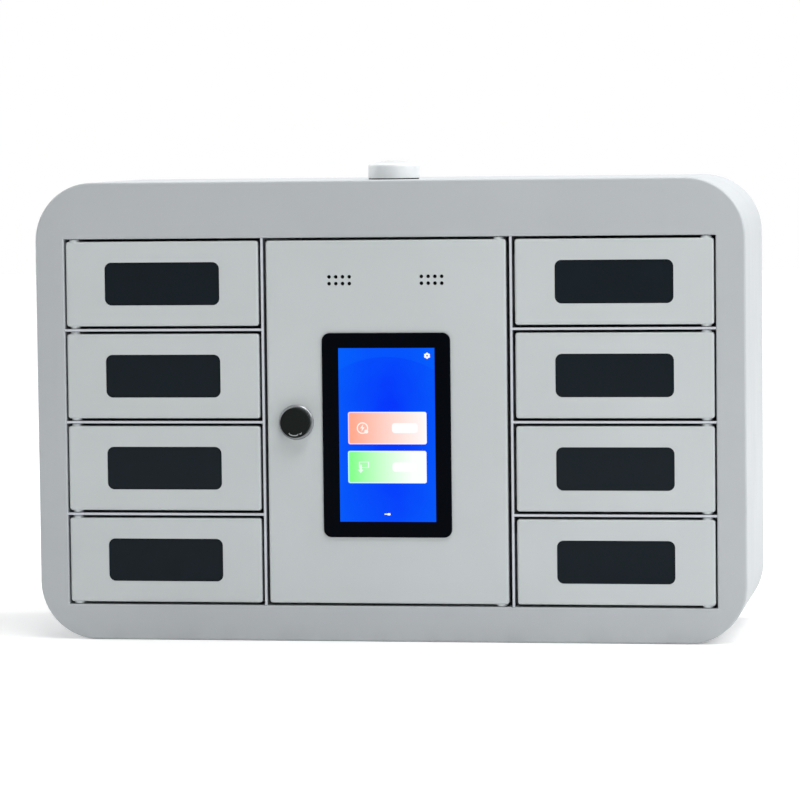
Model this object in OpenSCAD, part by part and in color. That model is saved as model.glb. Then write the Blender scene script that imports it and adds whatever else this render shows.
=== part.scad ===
// Phone charging locker: a rounded steel casing with eight small doors in two columns and a
// service door between them, which carries a touch screen, two speakers and a cam lock.
// X runs to the right, Y from the front to the back and Z up, in millimetres.
// The origin is the middle of the casing's flat base.

/* [Casing] */
// Depth of the casing from its front face to its rear rim
depth = 200; // [180:5:260]
// Outer radius of the casing's four long corners
corner_r = 52; // [40:1:56]
// Sheet thickness of the casing, fascia and back panel
wall = 1.2; // [1:0.1:1.4]
// Bend radius where the fascia turns back into its skirt
edge_r = 2; // [1.8:0.2:6]
// Depth of the fascia's skirt, which meets the casing edge to edge
fascia_skirt = 14; // [12:1:20]
// Width of the casing's inward flange that the back panel is screwed to
rear_flange = 14; // [12:1:18]
// How far the back panel lies in from the casing's rear rim
rear_recess = 3; // [3:0.5:5]

/* [Fascia] */
// Face left at each side of the opening
side_margin = 26; // [24:1:40]
// Face left above the opening
top_margin = 50; // [44:1:70]
// Face left below the opening
bottom_margin = 31.5; // [28:0.5:50]
// Depth of the flange that is folded in round the opening
opening_flange = 16; // [14:1:18]
// Bend radius along the edge of the opening
opening_bend = 1.5; // [1.3:0.1:2.5]

/* [Dividers] */
// Gap above, below and at the free edge of each door
door_gap = 2.4; // [1.8:0.1:2.8]
// Gap at the hinge edge of each small door
hinge_gap = 1.6; // [1.4:0.1:2.4]
// Gap at the hinge edge of the service door
service_gap = 3.2; // [1.6:0.1:4]
// Front edge of each partition, a double fold of its sheet
divider_edge = 2; // [2:0.1:3]
// Front edge of each shelf, a double fold of its sheet
shelf_edge = 2; // [1.8:0.1:2.6]
// Depth of the double fold behind those front edges
hem_depth = 13; // [10:1:14]

/* [Small doors] */
// Width of a small door
door_w = 173.6; // [166:0.2:200]
// Height of a small door
door_h = 74.9; // [72:0.1:90]
// Depth of the skirt folded back round a small door
door_skirt = 15; // [12:0.5:15.5]
// Sheet thickness of all nine doors
door_wall = 1.2; // [1:0.1:1.5]
// Bend radius between a door's face and its skirt
door_bend = 1.8; // [1.7:0.1:2.2]
// Radius of a door's corners, seen from the front
door_corner = 2.4; // [2.4:0.1:5]
// Face left at each side of a small door's window
window_side = 35; // [33:0.5:46]
// Height of the window in a small door
window_h = 38; // [28:1:44]
// Corner radius of the window
window_r = 6; // [3:0.5:8]
// Thickness of the window's dark pane
pane_t = 2; // [1.5:0.5:3]
// How far the pane laps behind the door round its window
pane_lap = 6; // [4:0.5:8]

/* [Service door] */
// Width of the service door
service_w = 213.2; // [206:0.2:240]
// Depth of the service door's skirt
service_skirt = 16; // [12:0.5:16]
// Width of the screen's black cover glass
glass_w = 114; // [108:1:118]
// Height of the screen's black cover glass
glass_h = 180; // [172:1:190]
// Corner radius of the cover glass
glass_r = 7; // [4:0.5:10]
// Thickness of the cover glass, which lies on the door's face
glass_t = 1.6; // [1.2:0.2:2.4]
// Width of the lit area of the screen
view_w = 86; // [80:1:90]
// Height of the lit area of the screen
view_h = 154.4; // [140:0.2:158]
// Height of the screen's middle above the bottom of the opening
screen_up = 151; // [140:1:156]

/* [Speakers] */
// Distance of each speaker from the middle of the door
speaker_x = 41; // [30:1:50]
// Drop of the speakers' middles below the top of the opening
speaker_drop = 37.5; // [32:0.5:39]
// Diameter of each speaker's frame
speaker_d = 36; // [30:1:36]
// Diameter of one sound hole
sound_hole_d = 3.3; // [2:0.1:3.6]
// Spacing of the sound holes
sound_pitch = 6; // [5:0.5:7]

/* [Cam lock] */
// Distance of the lock from the service door's free edge
lock_in = 26; // [24:0.5:27]
// Outer diameter of the lock's bright rim
rim_d = 31; // [28:0.5:34]
// Thickness of the bright rim
rim_t = 3; // [2.5:0.5:4]
// Diameter of the threaded barrel
barrel_d = 19; // [18:0.5:22]
// Length of the barrel behind the door's face
barrel_len = 20; // [20:1:24]
// Diameter of the plug that the key turns
plug_d = 12; // [10:0.5:13]
// Diameter of the black swivelling dust cover
cover_d = 26.6; // [24:0.2:28]
// Thickness of the dust cover
cover_t = 6.2; // [4:0.2:7]
// Reach of the cam from the lock's axis
cam_reach = 23.5; // [22:0.5:24]

/* [Pivots] */
// Radius of the pivot pins
pin_r = 2; // [1.5:0.1:2.2]
// Distance of a pivot from its door's hinge edge
pivot_in = 7; // [6.5:0.1:8]
// Distance of a pivot behind the door's face
pivot_back = 5.5; // [5:0.1:5.8]
// Radius of the boss round each pivot hole, at its foot
boss_r = 5.4; // [4:0.1:5.4]
// Radial clearance between a pin and its hole
pin_clear = 0.06; // [0.03:0.01:0.1]

/* [Electric locks] */
// Thickness of a lock housing, out from its partition
lock_t = 14; // [13:0.5:16]
// Depth of a lock housing, front to back
lock_len = 66; // [56:1:80]
// Height of a lock housing
lock_h = 50; // [48:1:60]
// Thickness of the strike and of the claw that catches it
strike_t = 2; // [1.5:0.1:2.5]
// How far the strike reaches into its lock
strike_in = 16; // [14:0.5:17]
// How far the claw is turned down when it is released
claw_drop = 22; // [20:1:24]

/* [Antenna] */
// Diameter of the antenna on the roof
antenna_d = 45.5; // [36:0.5:60]
// Height of the antenna's side above its gasket
antenna_h = 12.6; // [10:0.2:20]
// Rise of the antenna's domed top
antenna_crown = 3; // [1:0.2:5]
// Distance of the antenna's middle behind the front face
antenna_back = 52; // [40:1:90]

/* [Back panel] */
// Spacing of the wall holes across the back
wall_holes_x = 400; // [390:10:460]
// Spacing of the wall holes up the back
wall_holes_z = 244; // [220:2:264]
// Radius of the wall holes
wall_hole_r = 3.5; // [2.5:0.5:4.5]
// Length of one vent slot
vent_len = 36; // [20:1:40]
// Width of one vent slot
vent_w = 4; // [3:0.5:5]
// Number of vent slots in the upper row
vents = 13; // [8:1:18]

/* [Hidden] */
$fn = 64;
rows = 4;
ROWS = [for (row = [1:rows]) row];
SIDES = ["left", "right"];
fit = 0.2;      // clearance between sheets that lie beside each other
touch = 0;      // sheets that bear on each other

bay_w = service_w + door_gap + service_gap;
opening_w = bay_w + 2 * (divider_edge + door_gap + door_w + hinge_gap);
pitch = door_h + 2 * door_gap + shelf_edge;
opening_h = rows * pitch - shelf_edge;
case_w = opening_w + 2 * side_margin;
case_h = opening_h + top_margin + bottom_margin;
opening_z0 = bottom_margin;
opening_z1 = bottom_margin + opening_h;
front = -depth / 2;
rear = depth / 2;
service_h = opening_h - 2 * door_gap;
divider_x = bay_w / 2;                                     // inner face of a partition's front fold
web_x = divider_x + divider_edge / 2;                      // face of a partition's web, service side
cell_x = divider_x + divider_edge;                         // face of a partition's web, cell side
panel_y = rear - rear_recess - wall;                       // front face of the back panel
flange_y = panel_y - wall;                                 // front face of the casing's rear flange
inner_y = front + opening_flange + fit;                    // where walls behind the opening flange begin
side_wall_x = opening_w / 2 + wall;                        // inner face of a side wall

door_x = opening_w / 2 - hinge_gap - door_w / 2;           // middle of a column, from the middle plane
pivot_x = opening_w / 2 - hinge_gap - pivot_in;            // pivots of the small doors
service_x = (door_gap - service_gap) / 2;                  // middle of the service door
service_pivot_x = bay_w / 2 - service_gap - pivot_in;      // pivots of the service door
lock_x = service_w / 2 - lock_in;                          // lock, from the middle of the service door
pivot_y = front + pivot_back;
boss_gap = 0.5;                                            // left above a pivot boss
boss_h = door_gap - boss_gap;                              // height of a pivot boss in the door gap
boss_taper = 1;
window_w = door_w - 2 * window_side;
pin_past = 2.5;                                            // how far a pin reaches into its door
pin_reach = door_gap + door_wall + pin_past;               // how far a pin stands out of its shelf
pin_lip = 1.3;
pin_head_r = pin_r + pin_lip;
pin_head_t = 1;

screen_z = opening_z0 + screen_up;
speaker_z = opening_z1 - speaker_drop;
lock_z = opening_z0 + opening_h / 2;

function door_z(row) = opening_z1 - door_gap - door_h / 2 - (row - 1) * pitch;   // middle of a small door
function shelf_z(row) = opening_z1 - row * pitch;                                // underside of the shelf below a row

// Draws in elevation: X across, Y up and Z out towards the viewer, from the fascia's front plane.
module elevation() translate([0, front, 0]) rotate([90, 0, 0]) children();

// The left column is drawn, and the right one is its mirror image.
module on_side(side) mirror([side == "right" ? 1 : 0, 0, 0]) children();

module both_sides() for (side = SIDES) on_side(side) children();

module box(low, high) translate(low) cube(high - low);

module rounded_rect(w, h, r) {
    square([w - 2 * r, h], center = true);
    square([w, h - 2 * r], center = true);
    for (x = [-1, 1], y = [-1, 1])
        translate([x * (w / 2 - r), y * (h / 2 - r)]) circle(r);
}

// A sheet bent back by a quarter turn: its outer face is the line x = 0, its front face y = 0.
module bend_profile(bend, skirt, t) {
    difference() {
        translate([-bend, -bend]) intersection() {
            circle(bend);
            square(bend);
        }
        translate([-bend, -bend]) circle(bend - t);
    }
    translate([-t, -skirt]) square([t, skirt - bend]);
}

// A folded pan seen from the front: a flat face with a skirt bent back all round it.
module pan(w, h, skirt, corner, bend, t) {
    translate([0, 0, -t]) linear_extrude(t)
        rounded_rect(w - 2 * bend, h - 2 * bend, corner - bend);
    for (turn = [0:3]) rotate(turn * 90) {
        across = turn % 2 == 0 ? w : h;
        along = turn % 2 == 0 ? h : w;
        translate([across / 2, along / 2 - corner, 0]) rotate([90, 0, 0])
            linear_extrude(along - 2 * corner) bend_profile(bend, skirt, t);
        translate([across / 2 - corner, along / 2 - corner, 0])
            rotate_extrude(angle = 90) translate([corner, 0]) bend_profile(bend, skirt, t);
    }
}

// Casing: the rolled wrapper, with an inward flange near its rear rim.
module casing() color("gainsboro") difference() {
    union() {
        elevation() translate([0, case_h / 2, -depth]) linear_extrude(depth - fascia_skirt)
            difference() {
                rounded_rect(case_w, case_h, corner_r);
                rounded_rect(case_w - 2 * wall, case_h - 2 * wall, corner_r - wall);
            }
        translate([0, panel_y, case_h / 2]) rotate([90, 0, 0]) linear_extrude(wall)
            difference() {
                rounded_rect(case_w - wall, case_h - wall, corner_r - wall / 2);
                rounded_rect(case_w - 2 * rear_flange, case_h - 2 * rear_flange,
                             corner_r - rear_flange);
            }
    }
    at_back_screws() cylinder(r = screw_r + 0.05, h = 3 * wall, center = true);
    translate([0, front + antenna_back, case_h]) cylinder(r = stem_r + 0.3, h = 4 * wall, center = true);
}

// Fascia: a shallow pan whose one opening has a flange folded in round it.
module fascia() color("lightgray") elevation() {
    difference() {
        translate([0, case_h / 2, 0]) pan(case_w, case_h, fascia_skirt, corner_r, edge_r, wall);
        translate([-opening_w / 2 - opening_bend, opening_z0 - opening_bend, -2 * wall])
            cube([opening_w + 2 * opening_bend, opening_h + 2 * opening_bend, 3 * wall]);
    }
    difference() {
        translate([0, opening_z0 + opening_h / 2, 0]) for (turn = [0:3]) rotate(turn * 90) {
            across = turn % 2 == 0 ? opening_w : opening_h;
            along = (turn % 2 == 0 ? opening_h : opening_w) + 2 * opening_bend;
            translate([across / 2, along / 2, 0]) rotate([90, 0, 0]) linear_extrude(along)
                mirror([1, 0]) bend_profile(opening_bend, opening_flange, wall);
        }
        rotate([-90, 0, 0]) translate([0, -front, 0]) at_flange_pins()
            cylinder(r = pin_r + pin_clear, h = 6 * wall, center = true);
    }
}

// Partition: a web between the columns and the service bay, whose front edge is a closed hem.
// The tab bent out of it on the service side is what the cam closes behind.
hem_clear = 0.1;
keeper_t = 1.5;
keeper_h = 30;
keeper_tab = 11;
cam_y = front + barrel_len + 0.3;                          // front face of the cam
keeper_y = cam_y - 0.8 - keeper_t;
grommet_y = rear - 50;
module partition() difference() {
    union() {
        translate([-cell_x, 0, 0]) rotate([90, 0, 90]) linear_extrude(cell_x - web_x) polygon([
            [front, opening_z0 + hem_clear], [inner_y, opening_z0 + hem_clear], [inner_y, wall],
            [flange_y - fit, wall], [flange_y - fit, rear_flange + fit], [panel_y - fit, rear_flange + fit],
            [panel_y - fit, case_h - rear_flange - fit], [flange_y - fit, case_h - rear_flange - fit],
            [flange_y - fit, case_h - wall], [inner_y, case_h - wall], [inner_y, opening_z1 - hem_clear],
            [front, opening_z1 - hem_clear]]);
        box([-web_x, front, opening_z0 + hem_clear], [-divider_x, front + hem_depth, opening_z1 - hem_clear]);
    }
    for (row = ROWS) translate([-web_x, grommet_y, door_z(row)]) rotate([0, 90, 0])
        cylinder(r = grommet_r, h = 3 * divider_edge, center = true);
}

module cam_keeper()
    box([-web_x, keeper_y, lock_z - keeper_h / 2],
        [-web_x + keeper_tab, keeper_y + keeper_t, lock_z + keeper_h / 2]);

module partitions() color("silver") {
    both_sides() partition();
    cam_keeper();
}

// Side walls close the cells off from the casing. Each lies on the opening's flange at its front,
// and behind that it reaches past the end plates.
module side_walls() color("silver") both_sides() {
    box([-side_wall_x - wall, front + opening_bend + wall, opening_z0],
        [-side_wall_x, inner_y + wall, opening_z1]);
    box([-side_wall_x - wall, inner_y, opening_z0 - wall],
        [-side_wall_x, panel_y - fit, opening_z1 + wall]);
}

// Shelves: hemmed at the front, and notched round the opening's flange.
shelf_t = shelf_edge / 2;
module shelf(row) translate([0, 0, shelf_z(row)]) difference() {
    union() {
        linear_extrude(shelf_t) polygon([
            [-opening_w / 2, front], [-cell_x, front], [-cell_x, panel_y - fit],
            [-side_wall_x, panel_y - fit], [-side_wall_x, inner_y], [-opening_w / 2, inner_y]]);
        box([-opening_w / 2, front, 0], [-cell_x, front + hem_depth, shelf_edge]);
    }
    translate([-pivot_x, pivot_y, 0]) cylinder(r = pin_r + pin_clear, h = 3 * shelf_edge, center = true);
}

module end_plate(z)
    box([-side_wall_x, inner_y, z], [-cell_x, panel_y - fit, z + shelf_t]);

module shelves() color("silver") both_sides() {
    for (row = [1:rows - 1]) shelf(row);
    end_plate(opening_z1);
    end_plate(opening_z0 - shelf_t);
}

// Pivot pins: one through each shelf, and headed ones in the opening's upper and lower flanges.
module at_flange_pins() for (x = [-pivot_x, service_pivot_x, pivot_x], z = [opening_z0, opening_z1])
    translate([x, pivot_y, z]) children();

module headed_pin(up) mirror([0, 0, up ? 0 : 1]) {
    translate([0, 0, -wall - pin_head_t]) cylinder(r = pin_head_r, h = pin_head_t);
    translate([0, 0, -wall - pin_head_t]) cylinder(r = pin_r, h = wall + pin_head_t + pin_reach);
}

module pivot_pins() color("dimgray") {
    both_sides() for (row = [1:rows - 1])
        translate([-pivot_x, pivot_y, shelf_z(row) - pin_reach])
            cylinder(r = pin_r, h = shelf_edge + 2 * pin_reach);
    for (x = [-pivot_x, service_pivot_x, pivot_x]) {
        translate([x, pivot_y, opening_z0]) headed_pin(true);
        translate([x, pivot_y, opening_z1]) headed_pin(false);
    }
}

// A hinged door without its cut-outs: a folded pan with a pivot boss above and below.
// It is drawn in elevation about its own middle, with the hinge edge on the left.
module door_pan(w, h, skirt) difference() {
    union() {
        pan(w, h, skirt, door_corner, door_bend, door_wall);
        at_pivots(w, h) translate([0, 0, -door_wall / 2])
            cylinder(r1 = boss_r, r2 = boss_r - boss_taper, h = door_wall / 2 + boss_h);
    }
    at_pivots(w, h) cylinder(r = pin_r + pin_clear, h = 4 * boss_h, center = true);
}

module at_pivots(w, h) for (end = [-1, 1])
    translate([pivot_in - w / 2, end * h / 2, -pivot_back]) rotate([-90 * end, 0, 0]) children();

// Small doors
module place_door(side, row) on_side(side) elevation() translate([-door_x, door_z(row), 0]) children();

module small_door(side, row) color("whitesmoke") place_door(side, row) difference() {
    door_pan(door_w, door_h, door_skirt);
    translate([0, 0, -2 * door_wall]) linear_extrude(3 * door_wall)
        rounded_rect(window_w, window_h, window_r);
}

module small_window(side, row) color("black") place_door(side, row)
    translate([0, 0, -door_wall - pane_t]) linear_extrude(pane_t)
        rounded_rect(window_w + 2 * pane_lap, window_h + 2 * pane_lap, window_r);

// Electric locks: a housing on each partition, a claw that turns in its slot, and a strike on the door.
lock_front = front + door_skirt + 3;                       // front face of the lock housings
slot_w = 7;                                                // width of the slot that the strike enters
slot_x = cell_x + lock_t / 2;                              // middle of that slot
strike_top = 7;                                            // top edge of the strike above the door's middle
strike_low = 5;                                            // its lower edge, below the middle
notch_at = 4.5;                                            // start of its notch, inside the housing
notch_w = 7;
strike_foot_w = 18;
strike_foot_h = 28;
claw_axis_in = 26;                                         // claw pivot behind the housing's front
claw_axis_low = 9;                                         // claw pivot below the door's middle
claw_arm = 21;
claw_arm_h = 5;
nose_w = 4;
nose_in = notch_at + notch_w - nose_w - 1;                 // nose of the claw, inside the housing
claw_hub_r = 4.5;
claw_pin_r = 1.6;
slot_low = 21;
slot_high = 9;
slot_deep = claw_axis_in + claw_hub_r + 1.5;

module at_lock(side, row) on_side(side) translate([-slot_x, lock_front, door_z(row)]) children();

module lock_housing(side, row) at_lock(side, row) {
    difference() {
        translate([-lock_t / 2, 0, -lock_h / 2 - 1]) cube([lock_t, lock_len, lock_h]);
        translate([-slot_w / 2, -1, -slot_low]) cube([slot_w, slot_deep + 1, slot_low + slot_high]);
    }
    translate([-slot_w / 2, claw_axis_in, -claw_axis_low]) rotate([0, 90, 0])
        cylinder(r = claw_pin_r, h = slot_w);
}

module lock_housings() color("lightsteelblue") for (side = SIDES, row = ROWS) lock_housing(side, row);

// The claw in profile, closed: Y into the housing and Z up, from its pivot.
module claw_outline() {
    circle(claw_hub_r);
    translate([-claw_arm, -claw_arm_h / 2]) square([claw_arm, claw_arm_h]);
    translate([nose_in - claw_axis_in, 0])
        square([nose_w, claw_axis_low - 1]);
    translate([0, -claw_arm_h / 2]) square([claw_hub_r + 1, claw_arm_h]);
}

module claw(side, row) color("goldenrod") at_lock(side, row)
    translate([-strike_t / 2, claw_axis_in, -claw_axis_low]) rotate([claw_drop, 0, 0])
        rotate([90, 0, 90]) linear_extrude(strike_t) difference() {
            claw_outline();
            circle(claw_pin_r + pin_clear);
        }

module strike(side, row) color("lightsteelblue") at_lock(side, row) {
    arm_start = front + door_wall - lock_front;
    translate([-strike_t / 2, 0, 0]) rotate([90, 0, 90]) linear_extrude(strike_t) difference() {
        translate([arm_start, -strike_low]) square([strike_in - arm_start, strike_low + strike_top]);
        translate([notch_at, -strike_low - 1]) square([notch_w, strike_low + 1]);
    }
    difference() {
        translate([strike_t / 2 - strike_foot_w, arm_start, -strike_foot_h / 2])
            cube([strike_foot_w, strike_t, strike_foot_h]);
        for (z = [-1, 1]) translate([-strike_foot_w / 2, arm_start, z * (strike_foot_h / 2 - 4)])
            rotate([90, 0, 0]) cylinder(r = 1.6, h = 3 * strike_t, center = true);
    }
}

// Rubber membrane grommets in the partitions, where a cell's charging lead and lock wires pass.
grommet_r = 6;
module cable_grommets() color("black") both_sides() for (row = ROWS)
    translate([-(cell_x + web_x) / 2, grommet_y, door_z(row)]) rotate([0, 90, 0])
        rotate_extrude() {
            translate([0, -0.75]) square([grommet_r - 0.1, 1.5]);
            for (z = [-1, 1]) translate([0, z * ((cell_x - web_x) / 2 + 0.9) - 0.8])
                square([grommet_r + 3, 1.6]);
        }

// Antenna: a flat puck on a gasket, held by a nut on its threaded stem under the roof.
stem_r = 6;
stem_len = 16;
gasket_t = 1;
gasket_in = 0.4;
puck_round = 2;
dome_base = antenna_d / 2 - puck_round;
dome_r = (dome_base * dome_base + antenna_crown * antenna_crown) / (2 * antenna_crown);
dome_step = asin(dome_base / dome_r) / 9;
dome_angles = [for (i = [9:-1:1]) i * dome_step];          // the dome is nine conical bands
module antenna() color("white") translate([0, front + antenna_back, case_h + gasket_t]) {
    rotate_extrude() {
        square([dome_base, antenna_h]);
        square([antenna_d / 2, antenna_h - puck_round]);
        translate([dome_base, antenna_h - puck_round]) circle(puck_round);
        polygon([[0, antenna_h - 1], [dome_base, antenna_h - 1], for (a = dome_angles)
            [dome_r * sin(a), antenna_h + antenna_crown - dome_r * (1 - cos(a))],
            [0, antenna_h + antenna_crown - dome_r * (1 - cos(dome_step))]]);
    }
    translate([0, 0, -stem_len]) cylinder(r = stem_r, h = stem_len);
}

module antenna_gasket() color("dimgray") translate([0, front + antenna_back, case_h]) difference() {
    cylinder(r = antenna_d / 2 - gasket_in, h = gasket_t);
    translate([0, 0, -1]) cylinder(r = stem_r + 0.3, h = gasket_t + 2);
}

module antenna_nut() color("silver") translate([0, front + antenna_back, case_h - wall - 6]) difference() {
    cylinder(r = 11, h = 6, $fn = 6);
    translate([0, 0, -1]) cylinder(r = stem_r + 0.05, h = 8);
}

// Back panel: lies on the casing's rear flange, with vents, the inlet's cut-out and four wall holes,
// each in a pad that is pressed out to the casing's rear rim.
screw_r = 2;
panel_clear = 0.5;
inlet_x = -50;
inlet_z = 62;
inlet_cut_w = 50;
inlet_cut_h = 28;
vent_pitch = 11;
vent_drop = 84;                                            // middles of the upper vents below the roof
screw_in = rear_flange / 2 + wall / 2;
screw_cols = [-0.36, -0.12, 0.12, 0.36];
screw_rows = [-0.3, 0.3];
module at_back_screws() translate([0, panel_y, case_h / 2]) rotate([90, 0, 0]) {
    for (x = screw_cols, y = [-1, 1]) translate([x * case_w, y * (case_h / 2 - screw_in)]) children();
    for (x = [-1, 1], y = screw_rows) translate([x * (case_w / 2 - screw_in), y * case_h]) children();
}

module vent_slot() {
    square([vent_w, vent_len - vent_w], center = true);
    for (y = [-1, 1]) translate([0, y * (vent_len - vent_w) / 2]) circle(vent_w / 2);
}

wall_pad = 5.5;                                            // pad left round each wall hole
module at_wall_holes() for (x = [-1, 1], z = [-1, 1])
    translate([x * wall_holes_x / 2, rear, lock_z + z * wall_holes_z / 2]) rotate([90, 0, 0]) children();

module back_panel() color("gainsboro") difference() {
    union() {
        vented_sheet();
        at_wall_holes() cylinder(r = wall_hole_r + wall_pad, h = rear_recess + wall);
    }
    at_wall_holes() translate([0, 0, -1]) cylinder(r = wall_hole_r, h = rear_recess + wall + 2);
    at_back_screws() cylinder(r = screw_r + 0.3, h = 4 * wall, center = true);
}

module vented_sheet()
    translate([0, panel_y + wall, case_h / 2]) rotate([90, 0, 0]) linear_extrude(wall) difference() {
        rounded_rect(case_w - 2 * (wall + panel_clear), case_h - 2 * (wall + panel_clear),
                     corner_r - wall - panel_clear);
        translate([0, case_h / 2 - vent_drop]) for (i = [1:vents])
            translate([(i - (vents + 1) / 2) * vent_pitch, 0]) vent_slot();
        translate([0, inlet_z - case_h / 2]) for (i = [1:6])
            translate([i * vent_pitch - 5, 0]) vent_slot();
        translate([inlet_x, inlet_z - case_h / 2]) square([inlet_cut_w, inlet_cut_h], center = true);
    }

module back_screws() color("silver") at_back_screws() translate([0, 0, -wall]) mirror([0, 0, 1]) {
    cylinder(r = 3.8, h = 2.2);
    translate([0, 0, -5]) cylinder(r = screw_r, h = 5);
}

// Power inlet: a three-blade mains socket and its rocker switch in one snap-in body.
inlet_flange_t = 2.4;
inlet_deep = 24;
socket_w = 24;
socket_h = 16.5;
socket_deep = 16;
socket_x = -9;
blade_len = 9;
rocker_x = 15;
rocker_w = 11;
rocker_h = 20;
rocker_r = 22;
rocker_tilt = 8;
rocker_down = 5;                                           // its pivot below the back panel's outer face
module at_inlet() translate([inlet_x, panel_y + wall, inlet_z]) rotate([90, 0, 180]) children();

module socket_outline() polygon([
    [-socket_w / 2, -socket_h / 2], [socket_w / 2, -socket_h / 2], [socket_w / 2, socket_h / 2 - 4],
    [socket_w / 2 - 4, socket_h / 2], [4 - socket_w / 2, socket_h / 2], [-socket_w / 2, socket_h / 2 - 4]]);

module power_inlet() color("black") at_inlet() {
    difference() {
        union() {
            linear_extrude(inlet_flange_t) rounded_rect(inlet_cut_w + 6, inlet_cut_h + 5, 2);
            translate([0, 0, -inlet_deep]) linear_extrude(inlet_deep)
                square([inlet_cut_w - 2 * fit, inlet_cut_h - 2 * fit], center = true);
        }
        translate([socket_x, 0, inlet_flange_t - socket_deep]) linear_extrude(socket_deep + 1)
            socket_outline();
        translate([rocker_x - rocker_w / 2 - fit, -rocker_h / 2 - fit, -rocker_down - 4])
            cube([rocker_w + 2 * fit, rocker_h + 2 * fit, rocker_down + 4 + 2 * inlet_flange_t]);
    }
    for (blade = [[-7, -2], [0, 3], [7, -2]])
        translate([socket_x + blade[0] - 1, blade[1] - 2, inlet_flange_t - socket_deep - 1])
            cube([2, 4, blade_len + 1]);
}

module power_rocker() color("firebrick") at_inlet()
    translate([rocker_x - rocker_w / 2, 0, -rocker_down]) rotate([rocker_tilt, 0, 0]) rotate([0, 90, 0])
        linear_extrude(rocker_w) difference() {
            circle(rocker_h / 2 - 0.6);
            translate([-rocker_r - 5.2, 0]) circle(rocker_r);
            translate([2, -rocker_h]) square([rocker_h, 2 * rocker_h]);
        }

// Power supply: a perforated metal case with a terminal strip, on the back panel.
supply_w = 129;
supply_h = 98;
supply_t = 38;
supply_x = -100;
supply_z = 100;
module power_supply() color("silver") translate([supply_x, panel_y - supply_t, supply_z]) difference() {
    cube([supply_w, supply_t, supply_h]);
    translate([wall, -1, -1]) cube([16, supply_t / 2, supply_h + 2]);
    for (x = [0:7], z = [0:5]) translate([34 + x * 11, 0, 20 + z * 11.6]) rotate([90, 0, 0])
        cylinder(r = 2.6, h = 4, center = true);
}

// Control board: a lock relay and a charging port for each cell, on a board that stands on four pillars.
board_w = 120;
board_h = 80;
board_t = 1.6;
board_z = 222;
pillar_h = 8;
relay_w = 10.4;
relay_h = 18;
relay_t = 14;
relay_pitch = (board_w - 16 - relay_w) / 7;
port_t = 7;
port_h = 16;
module control_board() color("seagreen") translate([-board_w / 2, panel_y - pillar_h - board_t, board_z]) {
    cube([board_w, board_t, board_h]);
    for (x = [5, board_w - 5], z = [5, board_h - 5]) translate([x, board_t, z]) rotate([-90, 0, 0])
        cylinder(r = 3, h = pillar_h);
    for (i = [0:7]) translate([8 + i * relay_pitch, 0, 0]) {
        translate([0, -relay_t, board_h / 2]) cube([relay_w, relay_t, relay_h]);
        difference() {
            translate([0, -port_t, -2]) cube([relay_w, port_t, port_h]);
            translate([1.2, 1.8 - port_t, -3]) cube([relay_w - 2.4, port_t / 2, port_h - 4]);
        }
    }
    translate([14, -9, board_h - 18]) cube([board_w - 28, 9, 10]);
    translate([board_w / 2 - 6, -3, 22]) cube([12, 3, 12]);
}

// Service door: carries the screen, the speakers and the cam lock.
module place_service() elevation() translate([service_x, opening_z0 + opening_h / 2, 0]) children();

screen_y = screen_z - opening_z0 - opening_h / 2;
speaker_y = speaker_z - opening_z0 - opening_h / 2;
cut_w = glass_w - 8;
cut_h = glass_h - 8;
module service_door() color("whitesmoke") place_service() difference() {
    mirror([1, 0, 0]) door_pan(service_w, service_h, service_skirt);
    translate([0, screen_y, -2 * door_wall]) linear_extrude(3 * door_wall) rounded_rect(cut_w, cut_h, 3);
    for (x = [-1, 1], i = [-1.5:1.5], j = [-0.5, 0.5])
        translate([x * speaker_x + i * sound_pitch, speaker_y + j * sound_pitch, 0])
            cylinder(d = sound_hole_d, h = 4 * door_wall, center = true);
    translate([-lock_x, 0, 0]) cylinder(d = barrel_d + 2 * pin_clear, h = 4 * door_wall, center = true);
}

module cover_glass() color("black") place_service() translate([0, screen_y, 0]) linear_extrude(glass_t)
    rounded_rect(glass_w, glass_h, glass_r);

panel_deep = 6;
module screen_panel() color("royalblue") place_service() translate([0, screen_y, -panel_deep])
    linear_extrude(panel_deep) square([view_w, view_h], center = true);

tray_t = 1;
tray_deep = 16;
tray_lip = 5;
module screen_tray() color("silver") place_service() translate([0, screen_y, -door_wall]) {
    difference() {
        translate([0, 0, -tray_deep]) linear_extrude(tray_deep) rounded_rect(cut_w, cut_h, 3);
        translate([0, 0, tray_t - tray_deep]) linear_extrude(tray_deep)
            rounded_rect(cut_w - 2 * tray_t, cut_h - 2 * tray_t, 2);
    }
    translate([0, 0, -tray_t]) linear_extrude(tray_t) difference() {
        rounded_rect(cut_w + 2 * tray_lip, cut_h + 2 * tray_lip, 3);
        rounded_rect(cut_w - 2 * tray_t, cut_h - 2 * tray_t, 2);
    }
    for (y = [-1, 1]) translate([0, y * 40, tray_t - tray_deep])
        linear_extrude(tray_deep + door_wall - panel_deep - tray_t) square([view_w - 10, 12], center = true);
}

main_w = 90;
main_h = 64;
main_t = 1.6;
main_pillar = 4;                                           // height of the pillars under the board
main_chip = 24;
module main_board() color("darkgreen") place_service() translate([0, screen_y, -door_wall - tray_deep]) {
    behind = -main_pillar - main_t;
    translate([-main_w / 2, -main_h / 2, behind]) cube([main_w, main_h, main_t]);
    for (x = [-1, 1], y = [-1, 1])
        translate([x * (main_w / 2 - 5), y * (main_h / 2 - 5), -main_pillar])
            cylinder(r = 2.5, h = main_pillar);
    translate([-main_chip / 2, -main_chip / 2, behind - 2]) cube([main_chip, main_chip, 2]);
    translate([1 - main_w / 2, main_h * 0.16, behind - 6]) cube([main_w * 0.16, main_h * 0.25, 6]);
    translate([main_w * 0.24, 4 - main_h / 2, behind - 8]) cube([main_w * 0.22, main_h * 0.22, 8]);
}

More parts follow.
